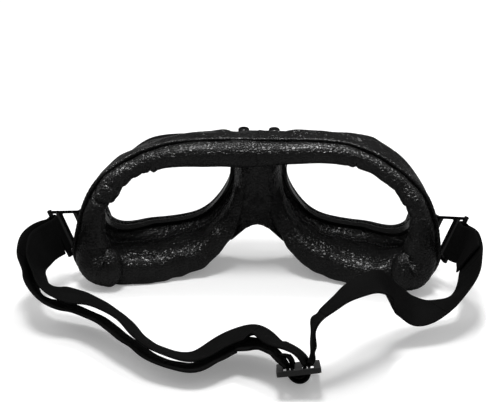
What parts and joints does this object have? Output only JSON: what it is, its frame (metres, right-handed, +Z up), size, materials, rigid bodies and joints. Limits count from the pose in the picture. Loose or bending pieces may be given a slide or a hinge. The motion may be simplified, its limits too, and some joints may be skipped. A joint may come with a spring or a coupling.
{
  "type": "aviator flying goggles",
  "caption": "Padded leather aviator goggles with bent clear lenses in hinged black frames, pivoting side loops and an elastic head strap with a sliding adjuster",
  "frame": {"origin": "centre of the bounding box in plan, on the surface that the cheek cushions stand on", "axes": "+X towards the wearer's right, +Y the way the wearer looks, +Z up"},
  "size_m": [0.2286, 0.148, 0.0766],
  "materials": {
    "black_enamel": "gloss black enamel",
    "blackened_steel": "blackened",
    "gasket_rubber": "matt",
    "clear_lens": "clear polished",
    "grained_leather": "wrinkled with a soft sheen",
    "smooth_leather": "fine grain, soft sheen",
    "strap_webbing": "matt woven elastic",
    "slider_plastic": "moulded, slight gloss"
  },
  "bodies": {
    "bridge": {"bridge_plate": "black_enamel", "right_bridge_pin": "black_enamel", "left_bridge_pin": "black_enamel", "nose_pad": "smooth_leather", "brow_pad": "grained_leather", "brow_band": "smooth_leather", "strap_lower_run": "strap_webbing", "strap_upper_run": "strap_webbing", "strap_right_run": "strap_webbing", "strap_tail": "strap_webbing"},
    "right_eye": {"right_eye_frame": "black_enamel", "right_lens_gasket": "gasket_rubber", "right_lens": "clear_lens", "right_bezel": "black_enamel", "right_bezel_screws": "blackened_steel", "right_hinge_leaf": "black_enamel", "right_leaf_screws": "blackened_steel", "right_strap_ear": "black_enamel", "right_ear_rivets": "blackened_steel", "right_loop_pin": "blackened_steel", "right_side_wall": "smooth_leather", "right_face_roll": "grained_leather", "right_cheek_cushion": "grained_leather"},
    "left_eye": {"left_eye_frame": "black_enamel", "left_lens_gasket": "gasket_rubber", "left_lens": "clear_lens", "left_bezel": "black_enamel", "left_bezel_screws": "blackened_steel", "left_hinge_leaf": "black_enamel", "left_leaf_screws": "blackened_steel", "left_strap_ear": "black_enamel", "left_ear_rivets": "blackened_steel", "left_loop_pin": "blackened_steel", "left_side_wall": "smooth_leather", "left_face_roll": "grained_leather", "left_cheek_cushion": "grained_leather"},
    "right_loop": {"right_strap_loop": "black_enamel", "right_strap_bend": "strap_webbing", "strap_right_flap": "strap_webbing"},
    "left_loop": {"left_strap_loop": "black_enamel", "left_strap_bend": "strap_webbing"},
    "slider": {"slider_frame": "slider_plastic", "slider_tail_bend": "strap_webbing", "slider_main_bend": "strap_webbing"}
  },
  "joints": [
    {"name": "right_fold", "type": "hinge", "parent": "bridge", "child": "right_eye", "pos_m": [0.01112, 0.07112, 0.05635], "axis": [0, 0, -1], "range_deg": [-8, 15], "deforming": ["nose_pad", "brow_pad", "brow_band", "strap_lower_run", "strap_upper_run", "strap_right_run", "strap_tail"]},
    {"name": "left_fold", "type": "hinge", "parent": "bridge", "child": "left_eye", "pos_m": [-0.00488, 0.07112, 0.05635], "axis": [0, 0, 1], "range_deg": [-8, 15], "deforming": ["nose_pad", "brow_pad", "brow_band", "strap_lower_run", "strap_upper_run", "strap_right_run", "strap_tail"]},
    {"name": "right_loop_swing", "type": "hinge", "parent": "right_eye", "child": "right_loop", "pos_m": [0.09362, 0.04762, 0.0265], "axis": [0.342, 0, 0.9397], "range_deg": [-6, 60], "deforming": ["strap_right_run"]},
    {"name": "left_loop_swing", "type": "hinge", "parent": "left_eye", "child": "left_loop", "pos_m": [-0.08738, 0.04762, 0.0265], "axis": [0.342, 0, -0.9397], "range_deg": [-6, 60], "deforming": ["strap_lower_run", "strap_upper_run"]},
    {"name": "slider_travel", "type": "slide", "parent": "bridge", "child": "slider", "axis": [0.9917, 0.0544, 0.1167], "range_m": [-0.012, 0.006], "deforming": ["strap_lower_run", "strap_upper_run", "strap_right_run", "strap_tail"]}
  ]
}
